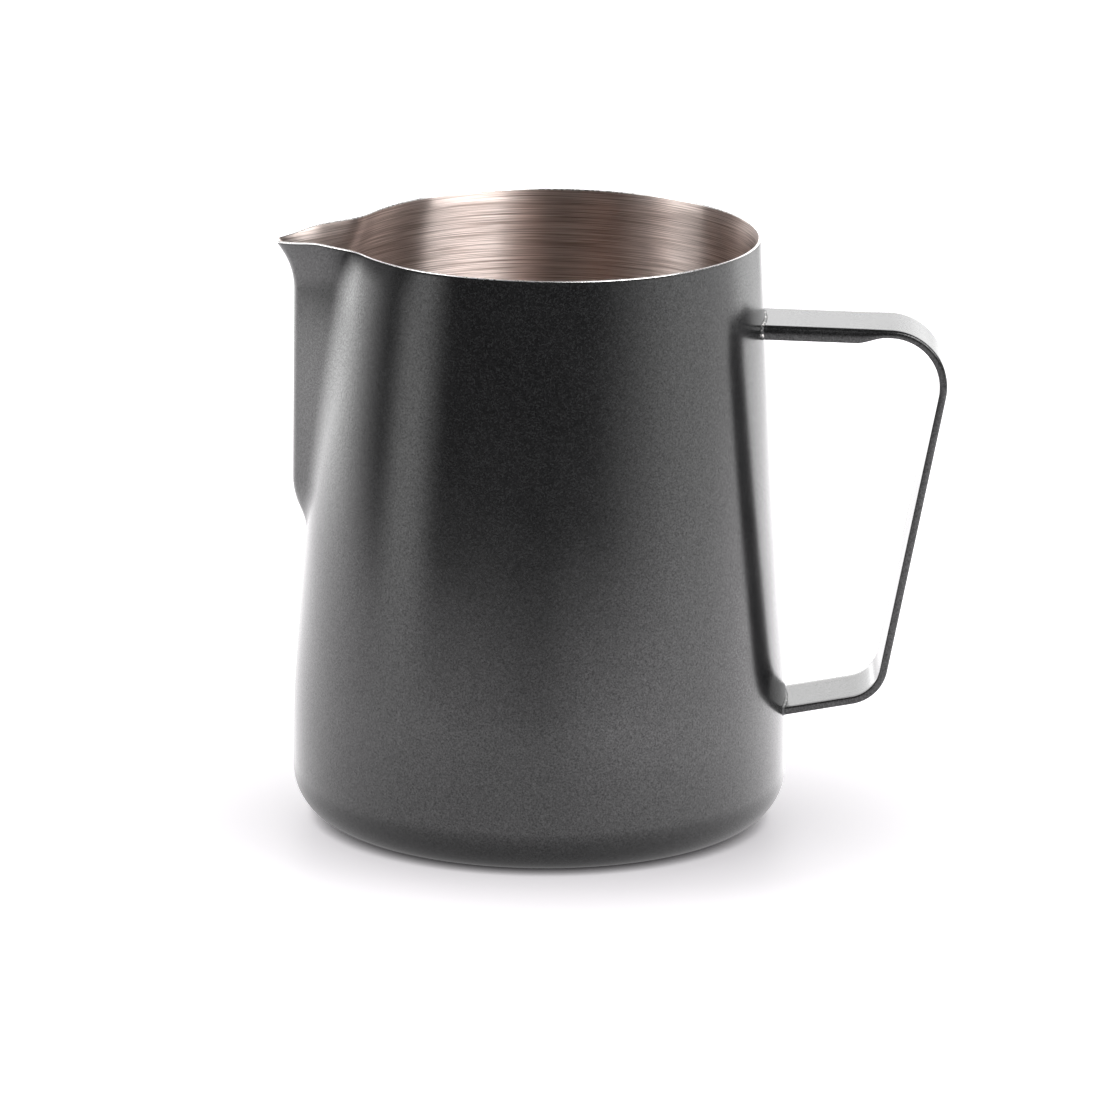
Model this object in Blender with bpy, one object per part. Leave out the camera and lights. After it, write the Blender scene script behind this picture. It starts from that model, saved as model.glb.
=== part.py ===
"""Milk frothing pitcher of about half a litre, in metres, +Z up.

The origin is the centre of the flat base.  The spout points to -X and the handle
to +X, and both halves are mirror images across the XZ plane.  The vessel is one
pressed sheet of even thickness.  The handle is one bent strap, and a weld run
joins each of its ends to the vessel.
"""
import math

import bmesh
import bpy
from mathutils import Vector

MM = 0.001

# Vessel
HEIGHT = 108.6 * MM            # rim height, away from the spout
BODY_RADIUS = 45.0 * MM        # outer radius of the cylindrical foot
WALL = 0.8 * MM                # sheet thickness
BASE_CORNER = 9.4 * MM         # outer radius of the rounded bottom edge
WAIST_Z = 23.6 * MM            # where the cone would meet the cylindrical foot
WAIST_ARC = 160.0 * MM         # radius of the soft bend there
CONE_ANGLE = math.radians(4.22)
MOUTH_START_Z = 50.0 * MM      # above this, the pressed spout draws the mouth in
MOUTH_SHRINK = 0.6 * MM        # loss of radius at the rim
MOUTH_SHIFT = 1.05 * MM        # shift of the mouth towards the handle at the rim

# Spout: a wedge with a rounded nose, blended into the round wall
SPOUT_REACH = 45.35 * MM       # nose line, measured from the vessel's axis
SPOUT_FOOT_Z = 60.4 * MM       # below this the nose line runs back into the wall
SPOUT_FOOT_ANGLE = math.radians(24.0)
SPOUT_FOOT_ROUND = 1.2 * MM
SPOUT_FOOT_BELOW = 9.0 * MM    # the nose line's bend reaches this far below its foot
SPOUT_FOOT_ABOVE = 2.7 * MM
SPOUT_HALF_ANGLE = math.radians(57.0)
SPOUT_HALF_ANGLE_RIM = math.radians(42.5)
SPOUT_OPENING_Z = 70.0 * MM    # above this the wedge opens towards its rim angle
OPENING_POWER = 3.5
NOSE_POWER = 2.0
NOSE_RADIUS = 4.0 * MM
NOSE_RADIUS_RIM = 3.2 * MM
SPOUT_BLEND = 1.2 * MM         # size of the hollow fillet along each side
LIP_Z = 98.7 * MM              # the pouring lip curls out above this
LIP_REACH = 3.43 * MM
LIP_POWER = 2.0                # how sharply the lip curls
DROOP_Z = 92.0 * MM            # the rim dips towards the spout above this
TIP_DROOP = 1.25 * MM
TIP_DROOP_ANGLE = math.radians(12.0)
SIDE_DROOP = 0.45 * MM
SIDE_DROOP_ANGLE = math.radians(75.0)
TUCK_DEPTH = 0.55 * MM         # the rim turns in a little beside the spout
TUCK_Z = 102.5 * MM
TUCK_ANGLE = math.radians(27.0)
TUCK_HALF_ANGLE = math.radians(31.0)

# Handle strap, given by the three straight lines of its outer face
STRAP_WIDTH = 15.6 * MM
STRAP_THICKNESS = 1.4 * MM
FLANGE_DEPTH = 2.55 * MM       # side flanges of the upper arm, over the outer face
FLANGE_END_X = 56.4 * MM       # the flanges step up to the strap's thickness here
FLANGE_STEP = 5.6 * MM
FOLD_RADIUS = 1.05 * MM        # outer edge of the flanged arm
BEND_EDGE_RADIUS = 0.9 * MM    # outer edge just past the flanges
EDGE_RADIUS = 0.45 * MM        # outer edge of the flat strap
UPPER_ARM_Z = 93.55 * MM       # outer face at the vessel
UPPER_ARM_FALL = math.radians(1.65)
GRIP_X = 72.8 * MM             # outer face at GRIP_Z
GRIP_Z = 80.0 * MM
GRIP_LEAN = math.radians(10.75)
LOWER_ARM_X = 45.0 * MM
LOWER_ARM_Z = 21.0 * MM        # outer face at LOWER_ARM_X
LOWER_ARM_RISE = math.radians(10.0)
LOWER_END = 0.1 * MM           # the lower end is set out this far past LOWER_ARM_X
UPPER_BEND = 10.6 * MM         # outer radii of the two bends
LOWER_BEND = 7.7 * MM

# Weld runs
GAP = 0.3 * MM                 # clearance between neighbouring solids
WELD_THICKNESS = 0.8 * MM
WELD_PROUD = 0.25 * MM         # how far a run stands out around the strap

# Materials
COAT_COLOR = (0.035, 0.036, 0.038)
COAT_ROUGHNESS = 0.38
WELD_COLOR = (0.05, 0.05, 0.052)
WELD_ROUGHNESS = 0.5
METALLIC = 0.6

# Mesh resolution
SHARP_ANGLE = math.radians(30.0)
MERGE_DISTANCE = 0.001 * MM
AROUND = 68
SPOUT_CROWDING = 0.6           # 0 spaces the columns evenly, 1 crowds them at the spout
CORNER_STEPS = 5
WAIST_ROWS = 2
CONE_ROWS = 2
FOOT_ROWS = 5
SPOUT_ROWS = 5
LIP_ROWS = 6
STEP_STATIONS = 6              # stations along the flanges' run-out
WALL_SEARCH_STEPS = 4
FOLD_STEPS = 3
SPAN_STEPS = 6                 # strips across the strap
UPPER_BEND_STEPS = 9
LOWER_BEND_STEPS = 7


def clear_scene():
    for obj in list(bpy.data.objects):
        bpy.data.objects.remove(obj, do_unlink=True)


def smoothstep(value):
    value = min(max(value, 0.0), 1.0)
    return value * value * (3.0 - 2.0 * value)


def blended_max(a, b, size):
    """The larger of two lengths, with a rounded hand-over of the given size."""
    overlap = max(size - abs(a - b), 0.0)
    return max(a, b) + overlap * overlap / (4.0 * size)


def blended_min(a, b, size):
    return -blended_max(-a, -b, size)


# ---------------------------------------------------------------- vessel shape

def cone_radius(z):
    """Outer radius of the round wall: cylinder, soft waist arc, then cone."""
    half_arc = WAIST_ARC * math.tan(CONE_ANGLE / 2.0)
    rise = z - (WAIST_Z - half_arc)
    if rise <= 0.0:
        return BODY_RADIUS
    if rise < WAIST_ARC * math.sin(CONE_ANGLE):
        return BODY_RADIUS - (WAIST_ARC - math.sqrt(WAIST_ARC ** 2 - rise ** 2))
    return BODY_RADIUS - (z - WAIST_Z) * math.tan(CONE_ANGLE)


def mouth_ramp(z):
    """0 below MOUTH_START_Z, growing to 1 at the rim."""
    ramp = max(z - MOUTH_START_Z, 0.0) / (HEIGHT - MOUTH_START_Z)
    return ramp * ramp


def nose_distance(z):
    """Distance of the spout's nose line from the vessel's axis."""
    rise = max(z - LIP_Z, 0.0) / (HEIGHT - LIP_Z)
    lip = LIP_REACH * rise ** LIP_POWER
    run_out = SPOUT_REACH - (SPOUT_FOOT_Z - z) * math.tan(SPOUT_FOOT_ANGLE)
    return blended_min(SPOUT_REACH, run_out, SPOUT_FOOT_ROUND) + lip


def wedge_radius(z, angle, centre):
    """Distance from the section's centre to the spout wedge, at an angle from it."""
    opening = max(z - SPOUT_OPENING_Z, 0.0) / (HEIGHT - SPOUT_OPENING_Z)
    half = SPOUT_HALF_ANGLE + (SPOUT_HALF_ANGLE_RIM - SPOUT_HALF_ANGLE) * opening ** OPENING_POWER
    nose = NOSE_RADIUS + (NOSE_RADIUS_RIM - NOSE_RADIUS) * opening ** NOSE_POWER
    nose_centre = nose_distance(z) + centre - nose
    tangent = math.atan2(nose * math.cos(half), nose_centre + nose * math.sin(half))
    angle = abs(angle)
    if angle < tangent:
        across = nose_centre * math.sin(angle)
        return nose_centre * math.cos(angle) + math.sqrt(nose ** 2 - across ** 2)
    side = nose_centre * math.sin(half) + nose
    lean = angle - (math.pi / 2.0 - half)
    return side / math.cos(lean) if lean < 0.0 else side * math.cos(lean)


def rim_droop(angle):
    """How far the rim dips at an angle from the spout."""
    tip = max(1.0 - (angle / TIP_DROOP_ANGLE) ** 2, 0.0)
    side = max(1.0 - (angle / SIDE_DROOP_ANGLE) ** 2, 0.0)
    return TIP_DROOP * tip * tip + SIDE_DROOP * side * side


def rim_tuck(z, angle):
    """How far the wall turns in below the rim, in the hollow beside the spout."""
    rise = max(z - TUCK_Z, 0.0) / (HEIGHT - TUCK_Z)
    away = min(abs(abs(angle) - TUCK_ANGLE) / TUCK_HALF_ANGLE, 1.0)
    return TUCK_DEPTH * rise * rise * (1.0 - smoothstep(away))


def wall_point(z, angle):
    """Point of the outer wall; the angle is measured from the spout's direction."""
    ramp = mouth_ramp(z)
    centre = MOUTH_SHIFT * ramp
    round_wall = cone_radius(z) - MOUTH_SHRINK * ramp
    radius = blended_max(round_wall, wedge_radius(z, angle, centre), SPOUT_BLEND)
    radius -= rim_tuck(z, angle)
    dip = max(z - DROOP_Z, 0.0) / (HEIGHT - DROOP_Z)
    return Vector((
        centre - radius * math.cos(angle),
        radius * math.sin(angle),
        z - rim_droop(angle) * dip * dip,
    ))


def corner_point(turn, angle):
    """Point of the rounded bottom edge; turn runs from 0 below to 90 degrees."""
    radius = BODY_RADIUS - BASE_CORNER + BASE_CORNER * math.sin(turn)
    height = BASE_CORNER - BASE_CORNER * math.cos(turn)
    return Vector((-radius * math.cos(angle), radius * math.sin(angle), height))


def wall_heights():
    """Rows of the wall, closer together where it bends."""
    half_arc = WAIST_ARC * math.tan(CONE_ANGLE / 2.0)
    foot_low = SPOUT_FOOT_Z - SPOUT_FOOT_BELOW
    foot_high = SPOUT_FOOT_Z + SPOUT_FOOT_ABOVE
    bands = [
        (WAIST_Z - half_arc, WAIST_Z + half_arc, WAIST_ROWS),
        (WAIST_Z + half_arc, foot_low, CONE_ROWS),
        (foot_low, foot_high, FOOT_ROWS),
        (foot_high, LIP_Z, SPOUT_ROWS),
        (LIP_Z, HEIGHT, LIP_ROWS),
    ]
    heights = [WAIST_Z - half_arc]
    for low, high, rows in bands:
        for row in range(1, rows + 1):
            heights.append(low + (high - low) * row / rows)
    return heights


def column_angles():
    """Angles around the vessel, crowded near the spout at angle 0."""
    angles = []
    for column in range(AROUND):
        even = 2.0 * math.pi * column / AROUND
        angle = even - SPOUT_CROWDING * math.sin(even)
        angles.append(angle if angle <= math.pi else angle - 2.0 * math.pi)
    return angles


# --------------------------------------------------------------- mesh building

def material(name, color, roughness):
    mat = bpy.data.materials.new(name)
    mat.use_nodes = True
    shader = mat.node_tree.nodes["Principled BSDF"]
    shader.inputs["Base Color"].default_value = (*color, 1.0)
    shader.inputs["Roughness"].default_value = roughness
    shader.inputs["Metallic"].default_value = METALLIC
    return mat


def make_object(name, bm, mat):
    mesh = bpy.data.meshes.new(name)
    bm.to_mesh(mesh)
    bm.free()
    mesh.materials.append(mat)
    mesh.shade_smooth()
    mesh.set_sharp_from_angle(angle=SHARP_ANGLE)
    obj = bpy.data.objects.new(name, mesh)
    bpy.context.scene.collection.objects.link(obj)
    return obj


def skin_rows(bm, rows):
    """Join equal closed rows of points with quads; the rows' vertices are returned."""
    loops = []
    for row in rows:
        loops.append([bm.verts.new(point) for point in row])
    count = len(rows[0])
    for low, high in zip(loops, loops[1:]):
        for i in range(count):
            j = (i + 1) % count
            bm.faces.new((low[i], low[j], high[j], high[i]))
    return loops


def build_body_shell(mat):
    """The vessel: an open outer skin, thickened inwards to the sheet."""
    angles = column_angles()
    rows = []
    for step in range(CORNER_STEPS + 1):
        turn = math.pi / 2.0 * step / CORNER_STEPS
        rows.append([corner_point(turn, angle) for angle in angles])
    for z in wall_heights():
        rows.append([wall_point(z, angle) for angle in angles])
    bm = bmesh.new()
    loops = skin_rows(bm, rows)
    base = bm.faces.new(loops[0])
    bmesh.ops.recalc_face_normals(bm, faces=bm.faces)
    base.normal_update()
    if base.normal.z > 0.0:
        bmesh.ops.reverse_faces(bm, faces=bm.faces)
    obj = make_object("body_shell", bm, mat)
    sheet = obj.modifiers.new("sheet", 'SOLIDIFY')
    sheet.thickness = WALL
    sheet.offset = -1.0
    sheet.use_even_offset = True
    return obj


# --------------------------------------------------------------- handle path

def line_crossing(point_a, way_a, point_b, way_b):
    """Where two lines of the XZ plane cross."""
    between = point_b - point_a
    det = way_a.x * way_b.z - way_a.z * way_b.x
    along = (between.x * way_b.z - between.z * way_b.x) / det
    return point_a + way_a * along


def bend_stations(corner, way_in, way_out, radius, steps):
    """Points and headings around a bend that is tangent to both straight lines."""
    turn = way_in.angle(way_out)
    centre_way = (way_out - way_in).normalized()
    centre = corner + centre_way * (radius / math.cos(turn / 2.0))
    outward = Vector((-way_in.z, 0.0, way_in.x))
    stations = []
    for step in range(steps + 1):
        angle = turn * step / steps
        normal = outward * math.cos(angle) + way_in * math.sin(angle)
        heading = way_in * math.cos(angle) - outward * math.sin(angle)
        stations.append((centre + normal * radius, heading))
    return stations


def handle_stations():
    """Points of the strap's outer face and headings, from the upper end round."""
    upper_way = Vector((math.cos(UPPER_ARM_FALL), 0.0, -math.sin(UPPER_ARM_FALL)))
    grip_way = Vector((-math.sin(GRIP_LEAN), 0.0, -math.cos(GRIP_LEAN)))
    lower_way = Vector((-math.cos(LOWER_ARM_RISE), 0.0, -math.sin(LOWER_ARM_RISE)))
    start = Vector((BODY_RADIUS, 0.0, UPPER_ARM_Z))
    grip = Vector((GRIP_X, 0.0, GRIP_Z))
    lower = Vector((LOWER_ARM_X, 0.0, LOWER_ARM_Z))
    upper_corner = line_crossing(start, upper_way, grip, grip_way)
    lower_corner = line_crossing(grip, grip_way, lower, lower_way)

    stations = [(start, upper_way)]
    for step in range(STEP_STATIONS + 1):
        x = FLANGE_END_X + FLANGE_STEP * step / STEP_STATIONS
        stations.append((start + upper_way * ((x - start.x) / upper_way.x), upper_way))
    stations += bend_stations(upper_corner, upper_way, grip_way, UPPER_BEND, UPPER_BEND_STEPS)
    stations += bend_stations(lower_corner, grip_way, lower_way, LOWER_BEND, LOWER_BEND_STEPS)
    stations.append((lower + lower_way * LOWER_END, lower_way))
    return stations


def strap_section(depth, edge, grow):
    """Closed outline (across, inwards) of a strap whose flanges reach to a depth.

    It runs along the outer face, down one flange, back along the web's inner face
    and up the other flange.  Where the depth equals the strap's thickness, the
    flanges' inner walls have no height, and their doubled points are merged later.
    """
    half = STRAP_WIDTH / 2.0 + grow
    inner = STRAP_WIDTH / 2.0 - STRAP_THICKNESS - grow
    spans = [inner * (2.0 * i / SPAN_STEPS - 1.0) for i in range(SPAN_STEPS + 1)]
    flange = []
    for step in range(FOLD_STEPS + 1):
        angle = math.pi / 2.0 * step / FOLD_STEPS
        across = half - edge + edge * math.sin(angle)
        flange.append((across, edge - edge * math.cos(angle) - grow))
    flange.append((half, depth + grow))
    flange.append((inner, depth + grow))
    outer_face = [(across, -grow) for across in spans]
    inner_face = [(-across, STRAP_THICKNESS + grow) for across in spans]
    mirrored = [(-across, inwards) for across, inwards in reversed(flange)]
    return outer_face + flange + inner_face + mirrored


def flange_depth(x):
    step = smoothstep((x - FLANGE_END_X) / FLANGE_STEP)
    return FLANGE_DEPTH + (STRAP_THICKNESS - FLANGE_DEPTH) * step


def fold_radius(x, is_upper):
    """Outer edge radius: wide on the flanged arm, fading through the upper bend."""
    if not is_upper:
        return EDGE_RADIUS
    step = smoothstep((x - FLANGE_END_X) / FLANGE_STEP)
    bend = smoothstep((x - FLANGE_END_X) / (GRIP_X - FLANGE_END_X))
    on_arm = FOLD_RADIUS + (BEND_EDGE_RADIUS - FOLD_RADIUS) * step
    return on_arm + (EDGE_RADIUS - BEND_EDGE_RADIUS) * bend


def section_points(station, depth, edge, grow):
    """The outline in space, square to the strap's heading."""
    point, heading = station
    inwards_way = Vector((heading.z, 0.0, -heading.x))
    points = []
    for across, inwards in strap_section(depth, edge, grow):
        points.append(point + inwards_way * inwards + Vector((0.0, across, 0.0)))
    return points


def cut_to_vessel(points, heading, clearance):
    """Slide points along the heading until they stand off the round wall."""
    result = []
    for point in points:
        x = point.x
        for _ in range(WALL_SEARCH_STEPS):
            z = point.z + (x - point.x) * heading.z / heading.x
            ramp = mouth_ramp(z)
            radius = cone_radius(z) - MOUTH_SHRINK * ramp + clearance
            x = MOUTH_SHIFT * ramp + math.sqrt(radius ** 2 - point.y ** 2)
        z = point.z + (x - point.x) * heading.z / heading.x
        result.append(Vector((x, point.y, z)))
    return result


def cap(bm, loop):
    """Close a strap's end with strips that follow the wall across its width."""
    faces = SPAN_STEPS + 1
    flange = FOLD_STEPS + 3
    outer = loop[:faces]
    right = loop[faces:faces + flange]
    inner = loop[faces + flange:2 * faces + flange]
    left = loop[2 * faces + flange:]
    for i in range(SPAN_STEPS):
        bm.faces.new((outer[i], outer[i + 1], inner[-i - 2], inner[-i - 1]))
    bm.faces.new([outer[-1]] + right + [inner[0]])
    bm.faces.new([inner[-1]] + left + [outer[0]])


def close_strap(bm, loops):
    """Cap both ends, and merge the doubled points of the flat stretch."""
    cap(bm, loops[0])
    cap(bm, loops[-1])
    bmesh.ops.remove_doubles(bm, verts=bm.verts, dist=MERGE_DISTANCE)
    bmesh.ops.recalc_face_normals(bm, faces=bm.faces)


def build_handle_strap(mat):
    stations = handle_stations()
    rows = []
    for point, heading in stations:
        is_upper = point.z > GRIP_Z
        depth = flange_depth(point.x) if is_upper else STRAP_THICKNESS
        edge = fold_radius(point.x, is_upper)
        rows.append(section_points((point, heading), depth, edge, 0.0))
    stand_off = 2.0 * GAP + WELD_THICKNESS
    rows[0] = cut_to_vessel(rows[0], stations[0][1], stand_off)
    rows[-1] = cut_to_vessel(rows[-1], stations[-1][1], stand_off)
    bm = bmesh.new()
    close_strap(bm, skin_rows(bm, rows))
    return make_object("handle_strap", bm, mat)


def build_weld(name, station, depth, edge, mat):
    """A weld run with the strap's outline, a little proud, between it and the wall."""
    points = section_points(station, depth, edge, WELD_PROUD)
    near = cut_to_vessel(points, station[1], GAP)
    far = cut_to_vessel(points, station[1], GAP + WELD_THICKNESS)
    bm = bmesh.new()
    close_strap(bm, skin_rows(bm, [near, far]))
    return make_object(name, bm, mat)


def main():
    clear_scene()
    coat = material("black_coat", COAT_COLOR, COAT_ROUGHNESS)
    weld = material("weld_metal", WELD_COLOR, WELD_ROUGHNESS)
    build_body_shell(coat)
    build_handle_strap(coat)
    stations = handle_stations()
    build_weld("upper_weld", stations[0], FLANGE_DEPTH, FOLD_RADIUS, weld)
    build_weld("lower_weld", stations[-1], STRAP_THICKNESS, EDGE_RADIUS, weld)


main()
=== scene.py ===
"""The looks of a milk frothing pitcher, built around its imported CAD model.

Lengths are in metres in the model's own frame: +Z up, the origin at the centre of the
base, the spout towards -X and the handle towards +X.  The vessel, the strap and both
weld runs repeat the CAD shapes with a fine mesh and rounded edges.
"""
import math

import bmesh
import bpy
from mathutils import Matrix, Vector


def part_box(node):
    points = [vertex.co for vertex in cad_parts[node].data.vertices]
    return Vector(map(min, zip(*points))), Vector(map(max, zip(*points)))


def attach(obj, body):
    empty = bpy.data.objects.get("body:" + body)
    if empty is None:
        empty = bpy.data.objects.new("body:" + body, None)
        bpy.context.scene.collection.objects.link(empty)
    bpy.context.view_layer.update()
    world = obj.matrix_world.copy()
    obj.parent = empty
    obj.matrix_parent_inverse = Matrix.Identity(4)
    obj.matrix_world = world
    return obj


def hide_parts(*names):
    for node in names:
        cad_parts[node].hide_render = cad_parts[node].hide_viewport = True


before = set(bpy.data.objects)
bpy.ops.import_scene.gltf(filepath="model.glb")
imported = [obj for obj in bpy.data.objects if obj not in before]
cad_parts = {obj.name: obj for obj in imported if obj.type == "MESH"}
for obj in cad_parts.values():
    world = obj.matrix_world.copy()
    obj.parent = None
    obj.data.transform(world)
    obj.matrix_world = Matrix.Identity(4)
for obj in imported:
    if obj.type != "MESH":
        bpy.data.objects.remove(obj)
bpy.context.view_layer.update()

MM = 0.001

# ------------------------------------------------------------ sizes of the vessel
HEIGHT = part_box("body_shell")[1].z
BODY_RADIUS = 45.0 * MM
WALL = 0.8 * MM
BASE_CORNER = 9.4 * MM
WAIST_Z = 23.6 * MM
WAIST_ARC = 160.0 * MM
CONE_ANGLE = math.radians(4.22)
MOUTH_START_Z = 50.0 * MM
MOUTH_SHRINK = 0.6 * MM
MOUTH_SHIFT = 1.05 * MM
SPOUT_REACH = 45.35 * MM
SPOUT_FOOT_Z = 60.4 * MM       # where the spout runs out into the wall
SPOUT_FOOT_ANGLE = math.radians(24.0)
SPOUT_FOOT_ROUND = 1.2 * MM
FOOT_TOP_Z = 66.0 * MM
SPOUT_HALF_ANGLE = math.radians(57.0)
SPOUT_HALF_ANGLE_RIM = math.radians(42.5)
SPOUT_OPENING_Z = 70.0 * MM
OPENING_POWER = 3.5
NOSE_POWER = 2.0
NOSE_RADIUS = 4.0 * MM
NOSE_RADIUS_RIM = 3.2 * MM
SPOUT_BLEND = 1.2 * MM
LIP_Z = 98.7 * MM              # where the lip starts to flare
LIP_REACH = 3.43 * MM
LIP_POWER = 2.0
DROOP_Z = 92.0 * MM
TIP_DROOP = 1.25 * MM
TIP_DROOP_ANGLE = math.radians(12.0)
SIDE_DROOP = 0.45 * MM
SIDE_DROOP_ANGLE = math.radians(75.0)
TUCK_DEPTH = 0.55 * MM         # the rim turns in a little beside the spout
TUCK_Z = 102.5 * MM
TUCK_ANGLE = math.radians(27.0)
TUCK_HALF_ANGLE = math.radians(31.0)
RIM_THICKNESS = 0.5 * MM       # the sheet is ground thinner at the rim
RIM_TAPER = 2.5 * MM
RIM_EDGE = 0.23 * MM           # rounding of the rim's two edges

# ------------------------------------------------------------- sizes of the strap
STRAP_WIDTH = 15.6 * MM
STRAP_THICKNESS = 1.4 * MM
FLANGE_DEPTH = 2.55 * MM
FLANGE_END_X = 56.4 * MM
FLANGE_STEP = 5.6 * MM
FOLD_RADIUS = 1.05 * MM
BEND_EDGE_RADIUS = 0.9 * MM
EDGE_RADIUS = 0.45 * MM
CUT_EDGE = 0.18 * MM           # rounding of the strap's inner edges
UPPER_ARM_Z = 93.55 * MM
UPPER_ARM_FALL = math.radians(1.65)
GRIP_X = 72.8 * MM
GRIP_Z = 80.0 * MM
GRIP_LEAN = math.radians(10.75)
LOWER_ARM_X = 45.0 * MM
LOWER_ARM_Z = 21.0 * MM
LOWER_ARM_RISE = math.radians(10.0)
UPPER_BEND = 10.6 * MM
LOWER_BEND = 7.7 * MM
WELD_REACH = 0.35 * MM         # length of the weld runs from the wall outwards
WELD_FLARE = 0.22 * MM         # how far they spread around the strap at the wall
WELD_SUNK = 0.05 * MM          # how far they reach into the wall
SEAM = 0.08 * MM               # fine groove between a weld run and the strap
UPPER_CHIPPING = 0.15          # how much of the coat on a weld run has chipped off
LOWER_CHIPPING = 0.0

# ------------------------------------------------------------------------- studio
TABLE_SIZE = 6.0
TABLE_DISC = 0.56              # radius of the table as reflections show it
DISC_FADE = 0.29               # where that disc starts to fade out
DISC_DEPTH = 0.02 * MM         # how far it lies under the visible table
PAINTED_CONTACT_SHADOW_REACH = 4.0 * MM       # width of the painted contact shadow, a dark line where pitcher and table touch
SOFTBOX_DISTANCE = 1.3
CARD_EDGE = 2.5                # softness of the cards' level edges, in degrees
# name, azimuth, half width, lowest and highest edge (degrees), brightness
SOFTBOXES = (
    ("softbox_right", 51.0, 22.5, 14.0, 60.0, 7.1),
    ("softbox_left", -85.0, 12.5, 14.0, 60.0, 4.9),
)
# azimuth, half width, soft edge, lowest and highest edge (degrees), brightness
CARDS = (
    (94.0, 16.0, 58.0, -60.0, 0.0, 2.1),
    (136.0, 8.0, 18.0, -60.0, 0.0, 1.2),
    (-150.0, 15.0, 50.0, -60.0, 0.0, 4.3),
    (-71.5, 2.0, 18.0, -60.0, 0.0, 2.4),
    (180.0, 35.0, 20.0, 0.0, 30.0, 2.2),
    (95.0, 20.0, 15.0, 0.0, 45.0, 0.25),
    (-125.0, 20.0, 15.0, 0.0, 45.0, 0.2),
    (0.0, 180.0, 1.0, 0.0, 90.0, 0.1),
)

# ------------------------------------------------------------------------- camera
EYE = (0.00157, -1.8, 0.5171)
LOOK_DOWN = math.radians(14.56)
ROLL = math.radians(0.59)
FOCAL_LENGTH = 334.06          # on a sensor 36 mm wide, both in millimetres
SENSOR_WIDTH = 36.0

# --------------------------------------------------------------- mesh resolution
AROUND = 288
SPOUT_CROWDING = 0.6           # how far the columns crowd towards the spout
BASE_RINGS = (0.25, 0.5, 0.75, 0.9)
CORNER_STEPS = 16
CYLINDER_ROWS = 4
WAIST_ROWS = 8
CONE_ROWS = 8
FOOT_ROWS = 26
SPOUT_ROWS = 20
LIP_ROWS = 34
RIM_STEPS = 5
COATED_RIM_STEPS = 1           # the coat covers this much of the rim's outer rounding
FOLD_STEPS = 8
CUT_EDGE_STEPS = 3
SPAN_STEPS = 10
UPPER_BEND_STEPS = 44
LOWER_BEND_STEPS = 36
FLANGE_END_STEPS = 20
WELD_STEPS = 8
WALL_SEARCH_STEPS = 4
SMOOTH_ANGLE = math.radians(35.0)
VESSEL_SMOOTH_ANGLE = math.radians(50.0)


def smoothstep(value):
    value = min(max(value, 0.0), 1.0)
    return value * value * (3.0 - 2.0 * value)


def blended_max(a, b, size):
    overlap = max(size - abs(a - b), 0.0)
    return max(a, b) + overlap * overlap / (4.0 * size)


def blended_min(a, b, size):
    return -blended_max(-a, -b, size)


# ================================================================ vessel geometry

def cone_radius(z):
    """Outer radius of the round wall: cylinder, soft waist arc, then cone."""
    half_arc = WAIST_ARC * math.tan(CONE_ANGLE / 2.0)
    rise = z - (WAIST_Z - half_arc)
    if rise <= 0.0:
        return BODY_RADIUS
    if rise < WAIST_ARC * math.sin(CONE_ANGLE):
        return BODY_RADIUS - (WAIST_ARC - math.sqrt(WAIST_ARC ** 2 - rise ** 2))
    return BODY_RADIUS - (z - WAIST_Z) * math.tan(CONE_ANGLE)


def mouth_ramp(z):
    """How much of the mouth's shrink and shift applies: 0 low down, 1 at the rim."""
    ramp = max(z - MOUTH_START_Z, 0.0) / (HEIGHT - MOUTH_START_Z)
    return ramp * ramp


def nose_distance(z):
    """Distance of the spout's nose line from the vessel's axis."""
    rise = max(z - LIP_Z, 0.0) / (HEIGHT - LIP_Z)
    lip = LIP_REACH * rise ** LIP_POWER
    run_out = SPOUT_REACH - (SPOUT_FOOT_Z - z) * math.tan(SPOUT_FOOT_ANGLE)
    return blended_min(SPOUT_REACH, run_out, SPOUT_FOOT_ROUND) + lip


def wedge_radius(z, angle, centre):
    """Distance from the section's centre to the spout wedge, at an angle from it."""
    opening = max(z - SPOUT_OPENING_Z, 0.0) / (HEIGHT - SPOUT_OPENING_Z)
    half = SPOUT_HALF_ANGLE + (SPOUT_HALF_ANGLE_RIM - SPOUT_HALF_ANGLE) * opening ** OPENING_POWER
    nose = NOSE_RADIUS + (NOSE_RADIUS_RIM - NOSE_RADIUS) * opening ** NOSE_POWER
    nose_centre = nose_distance(z) + centre - nose
    tangent = math.atan2(nose * math.cos(half), nose_centre + nose * math.sin(half))
    angle = abs(angle)
    if angle < tangent:
        across = nose_centre * math.sin(angle)
        return nose_centre * math.cos(angle) + math.sqrt(nose ** 2 - across ** 2)
    side = nose_centre * math.sin(half) + nose
    lean = angle - (math.pi / 2.0 - half)
    return side / math.cos(lean) if lean < 0.0 else side * math.cos(lean)


def rim_droop(angle):
    """How far the rim dips, at the spout's tip and more gently to both sides."""
    tip = max(1.0 - (angle / TIP_DROOP_ANGLE) ** 2, 0.0)
    side = max(1.0 - (angle / SIDE_DROOP_ANGLE) ** 2, 0.0)
    return TIP_DROOP * tip * tip + SIDE_DROOP * side * side


def rim_tuck(z, angle):
    """How far the wall turns in below the rim, in the hollow beside the spout."""
    rise = max(z - TUCK_Z, 0.0) / (HEIGHT - TUCK_Z)
    away = min(abs(abs(angle) - TUCK_ANGLE) / TUCK_HALF_ANGLE, 1.0)
    return TUCK_DEPTH * rise * rise * (1.0 - smoothstep(away))


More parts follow.
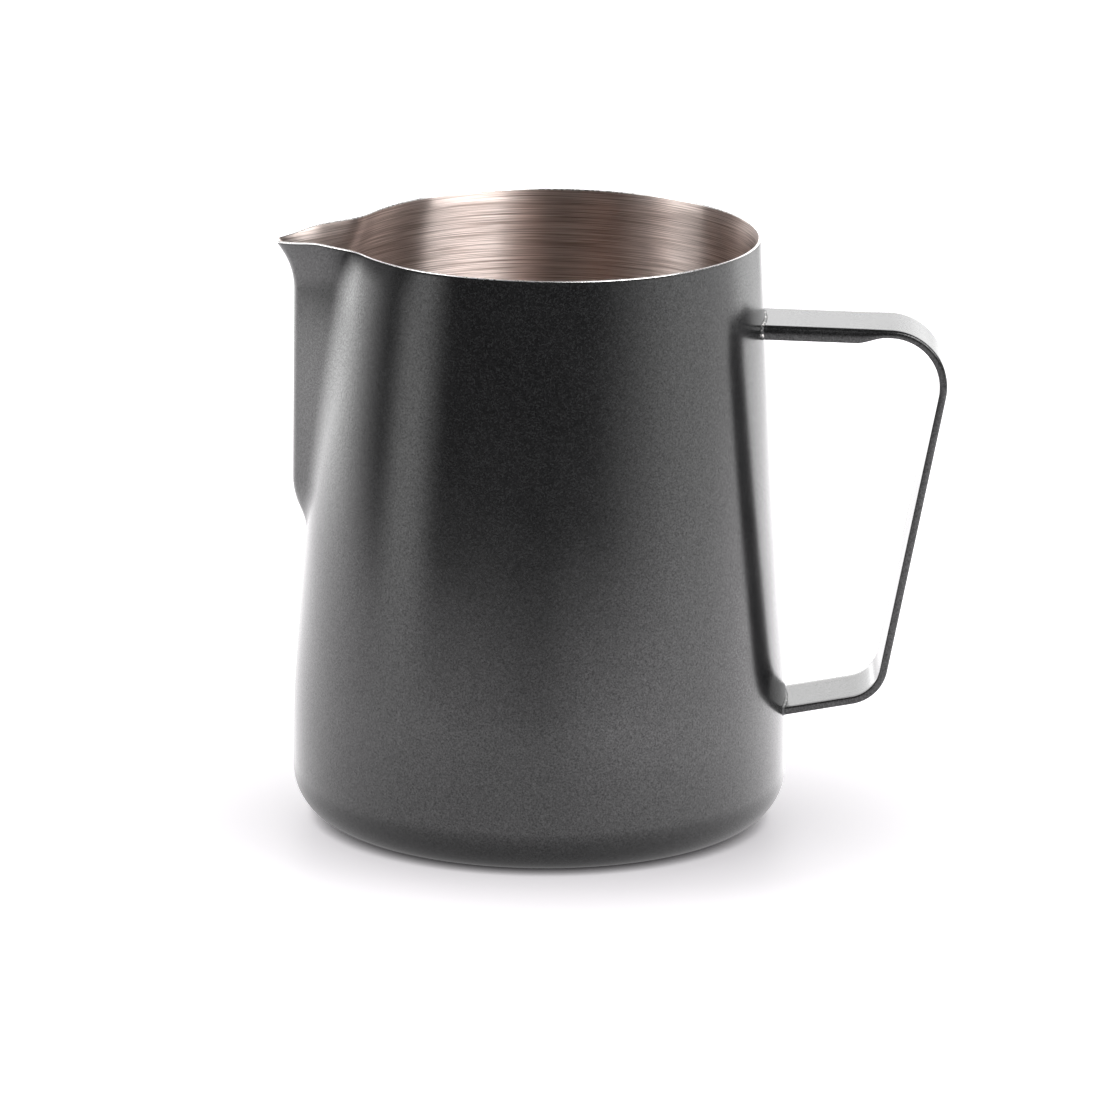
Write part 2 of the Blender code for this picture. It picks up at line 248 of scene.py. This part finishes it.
def wall_point(z, angle):
    """Point of the outer wall; the angle is measured from the spout's direction."""
    ramp = mouth_ramp(z)
    centre = MOUTH_SHIFT * ramp
    round_wall = cone_radius(z) - MOUTH_SHRINK * ramp
    radius = blended_max(round_wall, wedge_radius(z, angle, centre), SPOUT_BLEND)
    radius -= rim_tuck(z, angle)
    dip = max(z - DROOP_Z, 0.0) / (HEIGHT - DROOP_Z)
    return Vector((
        centre - radius * math.cos(angle),
        radius * math.sin(angle),
        z - rim_droop(angle) * dip * dip,
    ))


def wall_frame(z, angle):
    """Point, outward normal and upward tangent of the outer wall."""
    step = 0.01 * MM
    point = wall_point(z, angle)
    up = (wall_point(z + step, angle) - wall_point(z - step, angle)).normalized()
    side = wall_point(z, angle + 0.0005) - wall_point(z, angle - 0.0005)
    normal = up.cross(side).normalized()
    if normal.x * point.x + normal.y * point.y < 0.0:
        normal = -normal
    return point, normal, up


def corner_frame(turn, angle):
    """Point and outward normal of the rounded bottom edge."""
    radius = BODY_RADIUS - BASE_CORNER + BASE_CORNER * math.sin(turn)
    height = BASE_CORNER - BASE_CORNER * math.cos(turn)
    out = Vector((-math.cos(angle), math.sin(angle), 0.0))
    normal = out * math.sin(turn) - Vector((0.0, 0.0, math.cos(turn)))
    return out * radius + Vector((0.0, 0.0, height)), normal


def wall_heights():
    """Rows of the wall, closer together where it bends."""
    half_arc = WAIST_ARC * math.tan(CONE_ANGLE / 2.0)
    start = WAIST_Z - half_arc
    bands = [
        (BASE_CORNER, start, CYLINDER_ROWS),
        (start, WAIST_Z + half_arc, WAIST_ROWS),
        (WAIST_Z + half_arc, MOUTH_START_Z, CONE_ROWS),
        (MOUTH_START_Z, FOOT_TOP_Z, FOOT_ROWS),
        (FOOT_TOP_Z, DROOP_Z, SPOUT_ROWS),
        (DROOP_Z, HEIGHT - RIM_EDGE, LIP_ROWS),
    ]
    heights = []
    for low, high, rows in bands:
        for row in range(1, rows + 1):
            heights.append(low + (high - low) * row / rows)
    return heights


def column_angles():
    angles = []
    for column in range(AROUND):
        even = 2.0 * math.pi * column / AROUND
        angle = even - SPOUT_CROWDING * math.sin(even)
        angles.append(angle if angle <= math.pi else angle - 2.0 * math.pi)
    return angles


def new_object(name, bm, materials, smooth_angle=SMOOTH_ANGLE):
    bmesh.ops.recalc_face_normals(bm, faces=bm.faces)
    mesh = bpy.data.meshes.new(name)
    bm.to_mesh(mesh)
    bm.free()
    for mat in materials:
        mesh.materials.append(mat)
    mesh.shade_smooth()
    mesh.set_sharp_from_angle(angle=smooth_angle)
    obj = bpy.data.objects.new(name, mesh)
    bpy.context.scene.collection.objects.link(obj)
    return obj


def skin_rows(bm, rows, material_of=None):
    """Join equal closed rows of points with quads; material_of gives each band's slot."""
    loops = [[bm.verts.new(point) for point in row] for row in rows]
    count = len(rows[0])
    for band, (low, high) in enumerate(zip(loops, loops[1:])):
        for i in range(count):
            j = (i + 1) % count
            face = bm.faces.new((low[i], low[j], high[j], high[i]))
            if material_of:
                face.material_index = material_of(band)
    return loops


COAT, EDGE, BRUSHED = 0, 1, 2


def build_vessel(materials):
    """The whole sheet as one closed skin: underside, outer wall, rim, inside."""
    angles = column_angles()
    outer, inner = [], []

    def add_pair(frames, sheet=WALL):
        outer.append([point for point, normal in frames])
        inner.append([point - normal * sheet for point, normal in frames])

    flat_radius = BODY_RADIUS - BASE_CORNER
    for share in BASE_RINGS:
        ring = []
        for angle in angles:
            out = Vector((-math.cos(angle), math.sin(angle), 0.0))
            ring.append((out * flat_radius * share, Vector((0.0, 0.0, -1.0))))
        add_pair(ring)
    for step in range(CORNER_STEPS + 1):
        turn = math.pi / 2.0 * step / CORNER_STEPS
        add_pair([corner_frame(turn, angle) for angle in angles])
    for z in wall_heights():
        thinning = smoothstep((z - HEIGHT + RIM_TAPER) / RIM_TAPER)
        sheet = WALL + (RIM_THICKNESS - WALL) * thinning
        add_pair([wall_frame(z, angle)[:2] for angle in angles], sheet)
    wall_rows = len(outer)

    rim_outer, rim_inner = [], []
    rim_frames = [wall_frame(HEIGHT - RIM_EDGE, angle) for angle in angles]
    for step in range(RIM_STEPS + 1):
        turn = math.pi / 2.0 * step / RIM_STEPS
        row_out, row_in = [], []
        for point, normal, up in rim_frames:
            rise = up * (RIM_EDGE * math.sin(turn))
            inset = normal * (RIM_EDGE * (1.0 - math.cos(turn)))
            row_out.append(point - inset + rise)
            row_in.append(point - normal * RIM_THICKNESS + inset + rise)
        rim_outer.append(row_out)
        rim_inner.append(row_in)

    rows = outer + rim_outer[1:] + rim_inner[::-1] + inner[::-1][1:]
    edge_start = wall_rows + COATED_RIM_STEPS - 1
    edge_end = wall_rows + 2 * RIM_STEPS - 1

    def slot_of(band):
        if band < edge_start:
            return COAT
        return EDGE if band < edge_end else BRUSHED

    bm = bmesh.new()
    loops = skin_rows(bm, rows, slot_of)
    for loop, slot in ((loops[0], COAT), (loops[-1], BRUSHED)):
        height = loop[0].co.z
        hub = bm.verts.new((0.0, 0.0, height))
        for i, vert in enumerate(loop):
            face = bm.faces.new((vert, loop[(i + 1) % len(loop)], hub))
            face.material_index = slot
    return new_object("vessel", bm, materials, smooth_angle=VESSEL_SMOOTH_ANGLE)


# ================================================================ strap geometry

def line_crossing(point_a, way_a, point_b, way_b):
    between = point_b - point_a
    det = way_a.x * way_b.z - way_a.z * way_b.x
    along = (between.x * way_b.z - between.z * way_b.x) / det
    return point_a + way_a * along


def bend_stations(corner, way_in, way_out, radius, steps):
    """Points and headings around a bend that is tangent to both straight lines."""
    turn = way_in.angle(way_out)
    centre_way = (way_out - way_in).normalized()
    centre = corner + centre_way * (radius / math.cos(turn / 2.0))
    outward = Vector((-way_in.z, 0.0, way_in.x))
    stations = []
    for step in range(steps + 1):
        angle = turn * step / steps
        normal = outward * math.cos(angle) + way_in * math.sin(angle)
        heading = way_in * math.cos(angle) - outward * math.sin(angle)
        stations.append((centre + normal * radius, heading))
    return stations


def handle_stations():
    """Points of the strap's outer face and headings, from the upper end round."""
    upper_way = Vector((math.cos(UPPER_ARM_FALL), 0.0, -math.sin(UPPER_ARM_FALL)))
    grip_way = Vector((-math.sin(GRIP_LEAN), 0.0, -math.cos(GRIP_LEAN)))
    lower_way = Vector((-math.cos(LOWER_ARM_RISE), 0.0, -math.sin(LOWER_ARM_RISE)))
    start = Vector((BODY_RADIUS, 0.0, UPPER_ARM_Z))
    grip = Vector((GRIP_X, 0.0, GRIP_Z))
    lower = Vector((LOWER_ARM_X, 0.0, LOWER_ARM_Z))
    upper_corner = line_crossing(start, upper_way, grip, grip_way)
    lower_corner = line_crossing(grip, grip_way, lower, lower_way)

    stations = [(start, upper_way)]
    for step in range(FLANGE_END_STEPS + 1):
        x = FLANGE_END_X + FLANGE_STEP * step / FLANGE_END_STEPS
        stations.append((start + upper_way * ((x - start.x) / upper_way.x), upper_way))
    stations += bend_stations(upper_corner, upper_way, grip_way, UPPER_BEND, UPPER_BEND_STEPS)
    stations += bend_stations(lower_corner, grip_way, lower_way, LOWER_BEND, LOWER_BEND_STEPS)
    stations.append((lower + lower_way * 0.1 * MM, lower_way))
    return stations


def strap_section(depth, edge, grow):
    """Closed outline (across, inwards): outer face, flange, web's inner face, flange."""
    half = STRAP_WIDTH / 2.0 + grow
    inner = STRAP_WIDTH / 2.0 - STRAP_THICKNESS - grow
    spans = [inner * (2.0 * i / SPAN_STEPS - 1.0) for i in range(SPAN_STEPS + 1)]
    flange = []
    for step in range(FOLD_STEPS + 1):
        angle = math.pi / 2.0 * step / FOLD_STEPS
        across = half - edge + edge * math.sin(angle)
        flange.append((across, edge - edge * math.cos(angle) - grow))
    for step in range(CUT_EDGE_STEPS + 1):
        angle = math.pi / 2.0 * step / CUT_EDGE_STEPS
        across = half - CUT_EDGE + CUT_EDGE * math.cos(angle)
        flange.append((across, depth + grow - CUT_EDGE + CUT_EDGE * math.sin(angle)))
    flange.append((inner, depth + grow))
    outer_face = [(across, -grow) for across in spans]
    inner_face = [(-across, STRAP_THICKNESS + grow) for across in spans]
    mirrored = [(-across, inwards) for across, inwards in reversed(flange)]
    return outer_face + flange + inner_face + mirrored


def flange_depth(x):
    step = smoothstep((x - FLANGE_END_X) / FLANGE_STEP)
    return FLANGE_DEPTH + (STRAP_THICKNESS - FLANGE_DEPTH) * step


def fold_radius(x, is_upper):
    """Outer edge radius: wide on the flanged arm, fading through the upper bend."""
    if not is_upper:
        return EDGE_RADIUS
    step = smoothstep((x - FLANGE_END_X) / FLANGE_STEP)
    bend = smoothstep((x - FLANGE_END_X) / (GRIP_X - FLANGE_END_X))
    on_arm = FOLD_RADIUS + (BEND_EDGE_RADIUS - FOLD_RADIUS) * step
    return on_arm + (EDGE_RADIUS - BEND_EDGE_RADIUS) * bend


def section_points(station, depth, edge, grow):
    point, heading = station
    inwards_way = Vector((heading.z, 0.0, -heading.x))
    points = []
    for across, inwards in strap_section(depth, edge, grow):
        points.append(point + inwards_way * inwards + Vector((0.0, across, 0.0)))
    return points


def cut_to_vessel(points, heading, clearance):
    """Slide points along the heading until they stand off the round wall."""
    result = []
    for point in points:
        x = point.x
        for _ in range(WALL_SEARCH_STEPS):
            z = point.z + (x - point.x) * heading.z / heading.x
            ramp = mouth_ramp(z)
            radius = cone_radius(z) - MOUTH_SHRINK * ramp + clearance
            x = MOUTH_SHIFT * ramp + math.sqrt(radius ** 2 - point.y ** 2)
        z = point.z + (x - point.x) * heading.z / heading.x
        result.append(Vector((x, point.y, z)))
    return result


def cap(bm, loop):
    """Close one end of the strap: its web in strips, and each flange as one face."""
    faces = SPAN_STEPS + 1
    flange = FOLD_STEPS + CUT_EDGE_STEPS + 3
    outer = loop[:faces]
    right = loop[faces:faces + flange]
    inner = loop[faces + flange:2 * faces + flange]
    left = loop[2 * faces + flange:]
    for i in range(SPAN_STEPS):
        bm.faces.new((outer[i], outer[i + 1], inner[-i - 2], inner[-i - 1]))
    bm.faces.new([outer[-1]] + right + [inner[0]])
    bm.faces.new([inner[-1]] + left + [outer[0]])


def close_strap(bm, loops):
    cap(bm, loops[0])
    cap(bm, loops[-1])
    bmesh.ops.remove_doubles(bm, verts=bm.verts, dist=0.001 * MM)


def build_strap(mat):
    stations = handle_stations()
    rows = []
    for point, heading in stations:
        is_upper = point.z > GRIP_Z
        depth = flange_depth(point.x) if is_upper else STRAP_THICKNESS
        edge = fold_radius(point.x, is_upper)
        rows.append(section_points((point, heading), depth, edge, 0.0))
    rows[0] = cut_to_vessel(rows[0], stations[0][1], WELD_REACH + SEAM)
    rows[-1] = cut_to_vessel(rows[-1], stations[-1][1], WELD_REACH + SEAM)
    bm = bmesh.new()
    close_strap(bm, skin_rows(bm, rows))
    return new_object("strap", bm, [mat])


def build_weld(name, station, depth, edge, mat):
    """A weld run: a short sleeve that flares in a hollow curve where it meets the wall."""
    rows = []
    for step in range(WELD_STEPS + 1):
        share = step / WELD_STEPS
        grow = WELD_FLARE * (1.0 - share) ** 3
        points = section_points(station, depth, edge, grow)
        stand_off = -WELD_SUNK + (WELD_REACH + WELD_SUNK) * share
        rows.append(cut_to_vessel(points, station[1], stand_off))
    bm = bmesh.new()
    close_strap(bm, skin_rows(bm, rows))
    return new_object(name, bm, [mat])


# ===================================================================== materials

class Nodes:
    """Short helpers for building a material's node tree."""

    def __init__(self, name):
        self.mat = bpy.data.materials.new(name)
        self.mat.use_nodes = True
        self.tree = self.mat.node_tree
        self.shader = self.tree.nodes["Principled BSDF"]
        self.place = self.add("ShaderNodeTexCoord").outputs["Object"]

    def add(self, kind, **settings):
        node = self.tree.nodes.new(kind)
        for key, value in settings.items():
            setattr(node, key, value)
        return node

    def link(self, source, target):
        self.tree.links.new(source, target)

    def put(self, value, target):
        if isinstance(value, bpy.types.NodeSocket):
            self.link(value, target)
        else:
            target.default_value = value

    def set(self, name, value):
        self.put(value, self.shader.inputs[name])

    def math(self, operation, a, b=0.0):
        node = self.add("ShaderNodeMath", operation=operation)
        self.put(a, node.inputs[0])
        self.put(b, node.inputs[1])
        return node.outputs[0]

    def stretched(self, scale):
        node = self.add("ShaderNodeMapping")
        node.inputs["Scale"].default_value = scale
        self.link(self.place, node.inputs["Vector"])
        return node.outputs["Vector"]

    def noise(self, scale, detail=2.0, roughness=0.5, vector=None):
        node = self.add("ShaderNodeTexNoise")
        node.inputs["Scale"].default_value = scale
        node.inputs["Detail"].default_value = detail
        node.inputs["Roughness"].default_value = roughness
        self.link(vector or self.place, node.inputs["Vector"])
        return node.outputs["Fac"]

    def remap(self, value, low, high, to_low, to_high):
        node = self.add("ShaderNodeMapRange")
        self.put(value, node.inputs["Value"])
        node.inputs["From Min"].default_value = low
        node.inputs["From Max"].default_value = high
        node.inputs["To Min"].default_value = to_low
        node.inputs["To Max"].default_value = to_high
        return node.outputs["Result"]

    def mix(self, factor, a, b):
        node = self.add("ShaderNodeMix", data_type='RGBA')
        self.put(factor, node.inputs["Factor"])
        self.put(a, node.inputs["A"])
        self.put(b, node.inputs["B"])
        return node.outputs["Result"]

    def bump(self, height, strength, distance):
        node = self.add("ShaderNodeBump")
        node.inputs["Strength"].default_value = strength
        node.inputs["Distance"].default_value = distance
        self.link(height, node.inputs["Height"])
        return node.outputs["Normal"]


def coat_material():
    """Satin black coat: fine pigment flakes and a sprayed grain under a soft gloss."""
    n = Nodes("satin_black_coat")
    cells = n.add("ShaderNodeTexVoronoi")
    cells.inputs["Scale"].default_value = 3900.0
    n.link(n.place, cells.inputs["Vector"])
    tone = n.add("ShaderNodeSeparateColor")
    n.link(cells.outputs["Color"], tone.inputs["Color"])
    flake = n.math('POWER', tone.outputs["Red"], 1.6)
    grain = n.noise(2900.0, detail=2.0, roughness=0.6)
    blotch = n.noise(110.0, detail=2.0)
    speckle = n.math('MULTIPLY', flake, n.remap(grain, 0.3, 0.7, 0.4, 1.6))
    dark = (0.005, 0.0051, 0.0052, 1.0)
    light = (0.016, 0.0164, 0.0168, 1.0)
    n.set("Base Color", n.mix(speckle, dark, light))
    n.set("Roughness", n.remap(blotch, 0.3, 0.7, 0.165, 0.195))
    n.set("IOR", 1.5)
    sparkle = n.noise(3300.0, detail=2.0, roughness=0.6)
    n.set("Specular IOR Level", n.remap(sparkle, 0.3, 0.7, 0.26, 0.74))
    n.set("Normal", n.bump(grain, 0.25, 0.014 * MM))
    return n.mat


def brush_lines(n):
    """Coordinates that run fast across the brush lines and slowly along them.

    The lines are level on the wall and turn into circles on the bottom.
    """
    parts = n.add("ShaderNodeSeparateXYZ")
    n.link(n.place, parts.inputs["Vector"])
    x, y, z = parts.outputs
    reach = n.math('SQRT', n.math('ADD', n.math('MULTIPLY', x, x), n.math('MULTIPLY', y, y)))
    on_bottom = n.remap(z, 3.0 * MM, BASE_CORNER, 1.0, 0.0)
    across = n.math('ADD', z, n.math('MULTIPLY', reach, on_bottom))
    joined = n.add("ShaderNodeCombineXYZ")
    for value, target in zip((x, y, across), joined.inputs):
        n.link(value, target)
    return joined.outputs["Vector"]


def brushed_material():
    """Bare stainless steel, brushed around the vessel's axis.

    Fine scratches run level around the wall, so reflections smear up and down only.
    """
    n = Nodes("brushed_steel")
    n.place = brush_lines(n)
    fine = n.noise(1.0, detail=1.0, roughness=0.6, vector=n.stretched((75.0, 75.0, 11000.0)))
    lines = n.noise(1.0, detail=2.0, roughness=0.7, vector=n.stretched((62.0, 62.0, 8200.0)))
    streak = n.math('ADD', n.math('MULTIPLY', fine, 0.5), n.math('MULTIPLY', lines, 0.5))
    dark = (0.38, 0.30, 0.265, 1.0)
    light = (1.0, 0.88, 0.83, 1.0)
    n.set("Base Color", n.mix(n.remap(streak, 0.38, 0.62, 0.0, 1.0), dark, light))
    n.set("Metallic", 1.0)
    n.set("Roughness", n.remap(streak, 0.35, 0.65, 0.30, 0.36))
    n.set("Anisotropic", 1.0)
    n.set("Anisotropic Rotation", 0.25)
    tangent = n.add("ShaderNodeTangent", direction_type='RADIAL', axis='Z')
    n.set("Tangent", tangent.outputs["Tangent"])
    n.set("Normal", n.bump(streak, 0.6, 0.012 * MM))
    return n.mat


def edge_material():
    """The rim's ground edge: bright bare steel."""
    n = Nodes("bright_edge")
    lines = n.noise(1200.0, detail=2.0)
    n.set("Base Color", n.mix(lines, (0.78, 0.76, 0.75, 1.0), (0.92, 0.91, 0.90, 1.0)))
    n.set("Metallic", 1.0)
    n.set("Roughness", n.remap(lines, 0.3, 0.7, 0.22, 0.34))
    return n.mat


def weld_material(name, chipping):
    """The coat over a weld run, with bright flecks where it has chipped."""
    n = Nodes(name)
    grain = n.noise(2600.0, detail=3.0)
    chips = n.remap(n.noise(1500.0, detail=2.0), 0.70 - chipping, 0.74 - chipping, 0.0, 1.0)
    coat = n.mix(grain, (0.018, 0.018, 0.019, 1.0), (0.034, 0.035, 0.036, 1.0))
    n.set("Base Color", n.mix(chips, coat, (0.62, 0.60, 0.58, 1.0)))
    n.set("Metallic", chips)
    n.set("Roughness", 0.36)
    n.set("Normal", n.bump(grain, 0.2, 0.06 * MM))
    return n.mat


def glowing_floor_painted_shadow_material():
    """A white table that glows a little from within, a painted glow, since it is no lamp.

    The glow is weaker around the object's foot, a painted shadow, and gone where the two touch, a
    painted contact shadow.
    """
    n = Nodes("table_white_glow_painted_shadow")
    shade = n.noise(14.0, detail=3.0)
    n.set("Base Color", n.mix(shade, (0.90, 0.875, 0.91, 1.0), (0.92, 0.90, 0.93, 1.0)))
    n.set("Roughness", 0.55)
    parts = n.add("ShaderNodeSeparateXYZ")
    n.link(n.place, parts.inputs["Vector"])
    x = n.math('SUBTRACT', parts.outputs["X"], 6.0 * MM)
    y = n.math('MULTIPLY', parts.outputs["Y"], 1.35)
    reach = n.math('SQRT', n.math('ADD', n.math('MULTIPLY', x, x), n.math('MULTIPLY', y, y)))
    # painted shadow: the glow is weaker near the foot and grows further out
    near_glow_painted_shadow = n.remap(reach, 0.036, 0.066, 0.46, 0.70)
    far = n.remap(reach, 0.066, 0.120, 0.0, 0.6)
    # painted contact shadow: an occlusion test dims the glow where the pitcher stands close
    painted_contact_shadow_ao = n.add("ShaderNodeAmbientOcclusion", samples=16)
    painted_contact_shadow_ao.inputs["Distance"].default_value = PAINTED_CONTACT_SHADOW_REACH
    painted_contact_shade = n.remap(painted_contact_shadow_ao.outputs["AO"], 0.0, 0.5, 0.0, 1.0)
    n.set("Emission Color", (1.0, 0.975, 1.0, 1.0))
    n.set("Emission Strength", n.math('MULTIPLY', n.math('ADD', near_glow_painted_shadow, far), painted_contact_shade))
    return n.mat


def reflected_material():
    """The glow of the table as it shows in reflections, a painted reflection of a lit table.

    It is painted brighter towards the sides, with painted shade around the object's foot, where
    the object shades it, and fades out at its far edge.
    """
    n = Nodes("table_glow_painted_reflection")
    n.set("Base Color", (0.0, 0.0, 0.0, 1.0))
    n.set("Specular IOR Level", 0.0)
    parts = n.add("ShaderNodeSeparateXYZ")
    n.link(n.place, parts.inputs["Vector"])
    # painted pool of light: the glow is brighter to the right and a little to the left
    right = n.remap(parts.outputs["X"], 0.01, 0.12, 1.70, 2.90)
    left = n.remap(parts.outputs["X"], -0.14, -0.04, 0.50, 0.0)
    reach = n.add("ShaderNodeVectorMath", operation='LENGTH')
    n.link(n.place, reach.inputs[0])
    # painted shadow: the glow is dim around the foot
    foot = n.remap(reach.outputs["Value"], 0.036, 0.063, 0.12, 1.0)
    n.set("Alpha", n.remap(reach.outputs["Value"], DISC_FADE, TABLE_DISC, 1.0, 0.0))
    n.set("Emission Color", (1.0, 0.985, 1.0, 1.0))
    n.set("Emission Strength", n.math('MULTIPLY', n.math('ADD', right, left), foot))
    return n.mat


# ================================================================ stage and light

def build_floor():
    """The table in two parts, which are returned.

    The sheet is the table as the camera sees it, and shows in no reflection.  The disc
    under it is the table as reflections show it, and the camera doesn't see it.
    """
    sheet_mesh = bmesh.new()
    bmesh.ops.create_circle(sheet_mesh, cap_ends=True, segments=96, radius=TABLE_SIZE)
    sheet = new_object("floor_sheet", sheet_mesh, [glowing_floor_painted_shadow_material()])
    sheet.visible_glossy = False
    disc_mesh = bmesh.new()
    bmesh.ops.create_circle(disc_mesh, cap_ends=True, segments=96, radius=TABLE_DISC)
    disc = new_object("floor_disc", disc_mesh, [reflected_material()])
    disc.location.z = -DISC_DEPTH
    disc.visible_camera = False
    return [sheet, disc]


def softbox(name, azimuth, half_width, low, high, radiance):
    """A rectangular light facing the pitcher, given by the angles that it spans there."""
    middle = (low + high) / 2.0
    data = bpy.data.lights.new(name, 'AREA')
    data.shape = 'RECTANGLE'
    data.size = 2.0 * SOFTBOX_DISTANCE * math.tan(math.radians(half_width))
    data.size_y = 2.0 * SOFTBOX_DISTANCE * math.tan(math.radians((high - low) / 2.0))
    data.energy = radiance * data.size * data.size_y * math.pi
    light = bpy.data.objects.new(name, data)
    way = Vector((
        math.sin(math.radians(azimuth)) * math.cos(math.radians(middle)),
        -math.cos(math.radians(azimuth)) * math.cos(math.radians(middle)),
        math.sin(math.radians(middle)),
    ))
    aim = Vector((0.0, 0.0, HEIGHT))
    light.location = aim + way * SOFTBOX_DISTANCE
    light.rotation_euler = way.to_track_quat('Z', 'Y').to_euler()
    bpy.context.scene.collection.objects.link(light)
    return light


class WorldNodes:
    """White cards and dark gaps around the table, as soft patches of the world."""

    def __init__(self):
        self.world = bpy.data.worlds.new("studio")
        self.world.use_nodes = True
        self.tree = self.world.node_tree
        place = self.tree.nodes.new("ShaderNodeTexCoord")
        parts = self.tree.nodes.new("ShaderNodeSeparateXYZ")
        self.tree.links.new(place.outputs["Generated"], parts.inputs["Vector"])
        x, y, z = parts.outputs
        self.azimuth = self.math('ARCTAN2', x, self.math('MULTIPLY', y, -1.0))
        self.height = self.math('ARCSINE', z)
        self.total = None

    def put(self, value, target):
        if isinstance(value, bpy.types.NodeSocket):
            self.tree.links.new(value, target)
        else:
            target.default_value = value

    def math(self, operation, *values):
        node = self.tree.nodes.new("ShaderNodeMath")
        node.operation = operation
        for value, target in zip(values, node.inputs):
            self.put(value, target)
        return node.outputs[0]

    def fade(self, value, start, end):
        """1 below start, falling smoothly to 0 at end, in degrees."""
        node = self.tree.nodes.new("ShaderNodeMapRange")
        node.interpolation_type = 'SMOOTHSTEP'
        self.put(value, node.inputs["Value"])
        node.inputs["From Min"].default_value = math.radians(start)
        node.inputs["From Max"].default_value = math.radians(end)
        node.inputs["To Min"].default_value = 1.0
        node.inputs["To Max"].default_value = 0.0
        return node.outputs["Result"]

    def card(self, azimuth, half_width, edge, low, high, strength):
        turned = self.math('SUBTRACT', self.azimuth, math.radians(azimuth))
        away = self.math('ABSOLUTE', self.math('WRAP', turned, math.pi, -math.pi))
        across = self.fade(away, half_width, half_width + edge)
        below = self.fade(self.height, high - CARD_EDGE, high + CARD_EDGE)
        under = self.fade(self.height, low - CARD_EDGE, low + CARD_EDGE)
        above = self.math('SUBTRACT', 1.0, under)
        patch = self.math('MULTIPLY', self.math('MULTIPLY', across, below), above)
        patch = self.math('MULTIPLY', patch, strength)
        self.total = patch if self.total is None else self.math('ADD', self.total, patch)

    def finish(self):
        tint = self.tree.nodes.new("ShaderNodeCombineColor")
        for channel in tint.inputs[:3]:
            self.put(self.total, channel)
        background = self.tree.nodes["Background"]
        self.put(tint.outputs["Color"], background.inputs["Color"])
        bpy.context.scene.world = self.world


def build_light(floor):
    """Two softboxes that leave out the table, and the cards.

    Azimuths run from the camera's side of the pitcher towards its handle.
    """
    left_out = bpy.data.collections.new("left_out_of_softboxes")
    for part in floor:
        left_out.objects.link(part)
    for part in left_out.collection_objects:
        part.light_linking.link_state = 'EXCLUDE'
    for name, azimuth, half_width, low, high, radiance in SOFTBOXES:
        light = softbox(name, azimuth, half_width, low, high, radiance)
        light.light_linking.receiver_collection = left_out
    studio = WorldNodes()
    for card in CARDS:
        studio.card(*card)
    studio.finish()


def build_camera():
    """A long lens, looking down at the pitcher from its side."""
    data = bpy.data.cameras.new("camera")
    data.sensor_width = SENSOR_WIDTH
    data.lens = FOCAL_LENGTH
    data.clip_end = 30.0
    camera = bpy.data.objects.new("camera", data)
    tilt = Matrix.Rotation(math.pi / 2.0 - LOOK_DOWN, 4, 'X')
    roll = Matrix.Rotation(ROLL, 4, 'Z')
    camera.matrix_world = Matrix.Translation(EYE) @ tilt @ roll
    bpy.context.scene.collection.objects.link(camera)
    bpy.context.scene.camera = camera


def main():
    bpy.context.scene.view_settings.view_transform = 'Standard'
    coat = coat_material()
    vessel = build_vessel([coat, edge_material(), brushed_material()])
    strap = build_strap(coat)
    stations = handle_stations()
    upper_mat = weld_material("upper_weld_coat", UPPER_CHIPPING)
    upper = build_weld("weld_upper", stations[0], FLANGE_DEPTH, FOLD_RADIUS, upper_mat)
    lower_mat = weld_material("lower_weld_coat", LOWER_CHIPPING)
    lower = build_weld("weld_lower", stations[-1], STRAP_THICKNESS, EDGE_RADIUS, lower_mat)
    for piece, node, slot in (
        (vessel, "body_shell", "coated_vessel"),
        (strap, "handle_strap", "coated_strap"),
        (upper, "upper_weld", "coated_weld"),
        (lower, "lower_weld", "coated_weld"),
    ):
        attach(piece, "root")
        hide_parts(node)
    build_light(build_floor())
    build_camera()


main()
